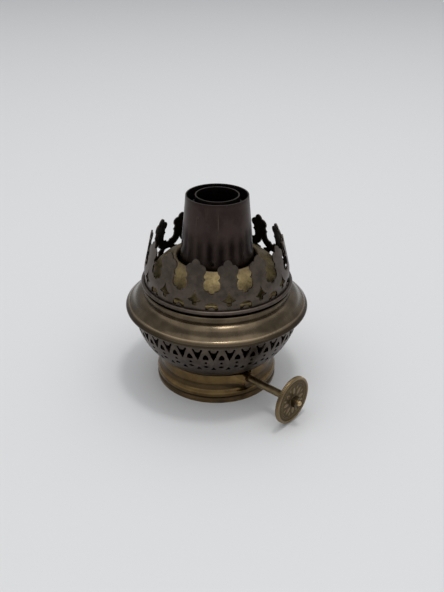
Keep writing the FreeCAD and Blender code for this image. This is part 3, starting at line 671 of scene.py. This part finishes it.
class BURNER_OT_make_knob(bpy.types.Operator):
    """Make the winder's knob with its milled edge and embossed rosette"""

    bl_idname = "burner.make_knob"
    bl_label = "Make the Knob"

    def execute(self, context):
        settings = context.scene.burner_knob
        low, high = reach_along_winder("winder_knob")
        radius = (cad_high("winder_knob").z - cad_low("winder_knob").z) / 2
        thickness = high - low
        steps = settings.teeth * 4
        knob = spun_ring("winder_knob_embossed", knob_outline(radius, 0, thickness), steps)
        face = thickness - KNOB_FACE_DEPTH
        for vertex in knob.data.vertices:
            self.press(vertex, radius, face, settings)
        settle(knob, winder_matrix(low))
        smooth(knob, 40)
        material = frame["nodes"]["winder_knob"].data.materials[0]
        finish_piece(knob, "winder", material, "winder_brass", "winder_knob")
        return {"FINISHED"}

    def press(self, vertex, radius, face, settings):
        """Raise the rosette on the face and cut the grooves in the edge."""
        distance = math.hypot(vertex.co.x, vertex.co.y)
        angle = math.atan2(vertex.co.y, vertex.co.x)
        if abs(vertex.co.z - face) < 0.01 * MM and distance < radius - 1.2 * MM:
            vertex.co.z += settings.relief * rosette_height(distance, angle, settings.petals)
        if distance > radius - 0.2 * MM:
            groove = max(0.0, math.cos(angle * settings.teeth)) * settings.tooth_depth
            factor = (distance - groove) / distance
            vertex.co.x *= factor
            vertex.co.y *= factor


class BURNER_OT_make_wick(bpy.types.Operator):
    """Roll the flat cotton strip into the slot between the tubes"""

    bl_idname = "burner.make_wick"
    bl_label = "Make the Wick"

    columns = 180
    rows = 90
    wall = 1.7 * MM
    clearance = 0.05 * MM

    def execute(self, context):
        settings = context.scene.burner_wick
        low = cad_low("wick").z
        high = cad_high("wick").z
        wide = self.cone_radius(low)
        narrow = self.cone_radius(high)
        select_nothing()
        bpy.ops.mesh.primitive_grid_add(x_subdivisions=self.columns, y_subdivisions=self.rows, size=1)
        wick = bpy.context.object
        wick.name = "wick_cotton_strip"
        gap_angle = self.gap_direction()
        for vertex in wick.data.vertices:
            across, along = vertex.co.x, vertex.co.y + 0.5
            height = low + (high - low) * along
            radius = wide + (narrow - wide) * along - self.wall / 2 - self.clearance
            angle = gap_angle + math.pi + across * settings.width / radius
            vertex.co = (radius * math.cos(angle), radius * math.sin(angle), height)
        thick = wick.modifiers.new("Wall", "SOLIDIFY")
        thick.thickness = self.wall
        thick.offset = 0
        soft = wick.modifiers.new("Soft edges", "BEVEL")
        soft.width = 0.35 * MM
        soft.segments = 2
        soft.limit_method = "ANGLE"
        apply_modifiers(wick)
        smooth(wick, 50)
        finish_piece(wick, "wick", wick_cotton(settings.char_depth), "wick_cotton", "wick")
        return {"FINISHED"}

    def cone_radius(self, height):
        """Largest radius of the CAD wick near a height."""
        near = [vertex.co for vertex in frame["nodes"]["wick"].data.vertices
                if abs(vertex.co.z - height) < 0.2 * MM]
        return max(math.hypot(co.x, co.y) for co in near)

    def gap_direction(self):
        """The side on which the rolled strip stays open, where the air inlet passes."""
        low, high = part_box("air_inlet")
        middle = (low + high) / 2
        return math.atan2(middle.y, middle.x)


class BURNER_OT_make_crown(bpy.types.Operator):
    """Bend the crown's prongs a little, each its own way, as years of chimneys do"""

    bl_idname = "burner.make_crown"
    bl_label = "Make the Crown"

    prongs = 14
    first = math.radians(-16.1 - 90)
    prong_length = 14.0 * MM
    lean = 1.0 * MM
    inward_bend = (-0.25 * MM, 0.20 * MM)
    sideways_bend = (-0.3 * MM, 0.3 * MM)
    half_wall = 0.3 * MM
    # Outer radius and height at the band's top, past the knee, and at the prongs' tips.
    profile = ((29.4 * MM, 49.4 * MM), (29.1 * MM, 51.6 * MM), (26.2 * MM, 64.35 * MM))

    def execute(self, context):
        crown = copy_of_node("crown", "crown_worn")
        top = cad_high("crown").z
        knee = top - self.prong_length
        rng = random.Random(7)
        bends = [(rng.uniform(*self.inward_bend), rng.uniform(*self.sideways_bend))
                 for _ in range(self.prongs)]
        step = math.tau / self.prongs
        # The inner side is marked so that its finish paints it nearly black as painted shade.
        inside = crown.data.attributes.new("inside", "FLOAT", "POINT")
        for vertex in crown.data.vertices:
            depth = self.outer_radius(vertex.co.z) - math.hypot(vertex.co.x, vertex.co.y)
            inside.data[vertex.index].value = 1.0 if depth > self.half_wall else 0.0
            if vertex.co.z < knee:
                continue
            rise = ((vertex.co.z - knee) / (top - knee)) ** 1.5
            radius = math.hypot(vertex.co.x, vertex.co.y)
            angle = math.atan2(vertex.co.y, vertex.co.x)
            number = round((angle - self.first) / step) % self.prongs
            inward, sideways = bends[number]
            radius += inward * rise
            angle += sideways * rise / radius
            vertex.co.x = radius * math.cos(angle)
            vertex.co.y = radius * math.sin(angle) + self.lean * rise
        material = frame["nodes"]["crown"].data.materials[0]
        finish_piece(crown, "burner", material, "crown_bronze", "crown")
        return {"FINISHED"}

    def outer_radius(self, height):
        """Outer radius of the crown's sheet before it is bent."""
        low, knee, top = self.profile
        if height < low[1]:
            return low[0]
        start, end = (low, knee) if height < knee[1] else (knee, top)
        return start[0] + (end[0] - start[0]) * (height - start[1]) / (end[1] - start[1])


class BURNER_OT_make_guide(bpy.types.Operator):
    """Blend the shaft's guide into the collar's wall, as one pressed sheet"""

    bl_idname = "burner.make_guide"
    bl_label = "Make the Shaft Guide"

    snout_half_width = 3.4 * MM
    blend_width = 5.2 * MM
    proud = 0.02 * MM

    def execute(self, context):
        guide = copy_of_node("shaft_guide", "shaft_guide_blended")
        select_only(guide)
        bpy.ops.mesh.customdata_custom_splitnormals_clear()
        wall_radius = self.wall_radius()
        side = Vector((-WINDER_OUT.y, WINDER_OUT.x, 0))
        for vertex in guide.data.vertices:
            radius = math.hypot(vertex.co.x, vertex.co.y)
            if radius <= wall_radius:
                continue
            aside = abs((vertex.co - WINDER_MIDDLE).dot(side))
            blend = min(1.0, max(0.0, (aside - self.snout_half_width) / self.blend_width))
            blend = blend * blend * (3 - 2 * blend)
            flush = radius + (wall_radius + self.proud - radius) * blend
            vertex.co.x *= flush / radius
            vertex.co.y *= flush / radius
        smooth(guide, 50)
        material = frame["nodes"]["shaft_guide"].data.materials[0]
        finish_piece(guide, "burner", material, "collar_brass", "shaft_guide")
        return {"FINISHED"}

    def wall_radius(self):
        """Radius of the collar's upright wall, read at its top."""
        top = cad_high("base_collar").z
        return max(math.hypot(vertex.co.x, vertex.co.y)
                   for vertex in frame["nodes"]["base_collar"].data.vertices
                   if vertex.co.z > top - 0.1 * MM)


# ---------------------------------------------------------------- stage


def soft_box(name, place, target, size, power):
    """An area light that faces a point."""
    data = bpy.data.lights.new(name, "AREA")
    data.shape = "RECTANGLE"
    data.size, data.size_y = size
    data.energy = power
    lamp = bpy.data.objects.new(name, data)
    bpy.context.scene.collection.objects.link(lamp)
    lamp.location = place
    lamp.rotation_mode = "QUATERNION"
    lamp.rotation_quaternion = (Vector(target) - Vector(place)).to_track_quat("-Z", "Y")
    return lamp


class BURNER_OT_set_stage(bpy.types.Operator):
    """Lay the table, set the lights and aim the camera"""

    bl_idname = "burner.set_stage"
    bl_label = "Set the Stage"

    def execute(self, context):
        settings = context.scene.burner_stage
        self.lay_table(settings)
        self.light()
        self.aim_camera(context, settings)
        return {"FINISHED"}

    def lay_table(self, settings):
        """A flat pale table top that reaches far past the picture."""
        select_nothing()
        bpy.ops.mesh.primitive_plane_add(size=6.0, location=(0, 0, 0))
        floor = bpy.context.object
        floor.name = "table"
        bpy.ops.object.mode_set(mode="EDIT")
        bpy.ops.mesh.select_all(action="SELECT")
        bpy.ops.mesh.subdivide(number_cuts=6)
        bpy.ops.object.mode_set(mode="OBJECT")
        floor.data.materials.append(floor_paint(settings.floor_shade))

    def light(self):
        world = bpy.data.worlds.new("soft_room")
        bpy.context.scene.world = world
        world.use_nodes = True
        background = world.node_tree.nodes["Background"]
        background.inputs["Color"].default_value = (0.95, 0.97, 1.0, 1.0)
        background.inputs["Strength"].default_value = 0.52
        soft_box("ceiling", (0.0, 0.1, 1.2), (0, 0.1, 0), (2.0, 2.0), 9.2)
        soft_box("lamp_above", (0.10, -0.02, 1.0), (0, 0, 0.03), (0.14, 0.14), 1.7)

    def aim_camera(self, context, settings):
        data = bpy.data.cameras.new("camera")
        data.lens = settings.lens
        data.sensor_width = 36.0
        data.clip_start = 0.01
        camera = bpy.data.objects.new("camera", data)
        context.scene.collection.objects.link(camera)
        place = Vector((2.17, -262.1, 177.5)) * MM
        target = Vector((2.17, 0.0, 35.9)) * MM
        camera.location = place
        camera.rotation_mode = "QUATERNION"
        look = (target - place).to_track_quat("-Z", "Y")
        roll = Matrix.Rotation(math.radians(0.54), 4, "Z").to_quaternion()
        camera.rotation_quaternion = look @ roll
        context.scene.camera = camera
        context.scene.view_settings.view_transform = "Standard"


class BURNER_PT_panel(bpy.types.Panel):
    """Lists the burner's steps in the order they run"""

    bl_idname = "BURNER_PT_panel"
    bl_label = "Lamp Burner"
    bl_space_type = "VIEW_3D"
    bl_region_type = "UI"
    bl_category = "Burner"

    def draw(self, context):
        layout = self.layout
        for operator in OPERATORS:
            layout.operator(operator.bl_idname)
        for group in (context.scene.burner_metal, context.scene.burner_knob, context.scene.burner_wick,
                      context.scene.burner_stage):
            for name in group.__annotations__:
                layout.prop(group, name)


SETTINGS = {
    "burner_metal": BurnerMetalSettings,
    "burner_knob": BurnerKnobSettings,
    "burner_wick": BurnerWickSettings,
    "burner_stage": BurnerStageSettings,
}
OPERATORS = (
    BURNER_OT_finish_metal,
    BURNER_OT_make_knob,
    BURNER_OT_make_wick,
    BURNER_OT_make_crown,
    BURNER_OT_make_guide,
    BURNER_OT_set_stage,
)
CLASSES = (*SETTINGS.values(), *OPERATORS, BURNER_PT_panel)


def register():
    for item in CLASSES:
        bpy.utils.register_class(item)
    for name, group in SETTINGS.items():
        setattr(bpy.types.Scene, name, bpy.props.PointerProperty(type=group))


def unregister():
    for name in SETTINGS:
        delattr(bpy.types.Scene, name)
    for item in reversed(CLASSES):
        bpy.utils.unregister_class(item)


def main():
    register()
    bpy.ops.burner.finish_metal()
    bpy.ops.burner.make_knob()
    bpy.ops.burner.make_wick()
    bpy.ops.burner.make_crown()
    bpy.ops.burner.make_guide()
    bpy.ops.burner.set_stage()


if __name__ == "__main__":
    main()
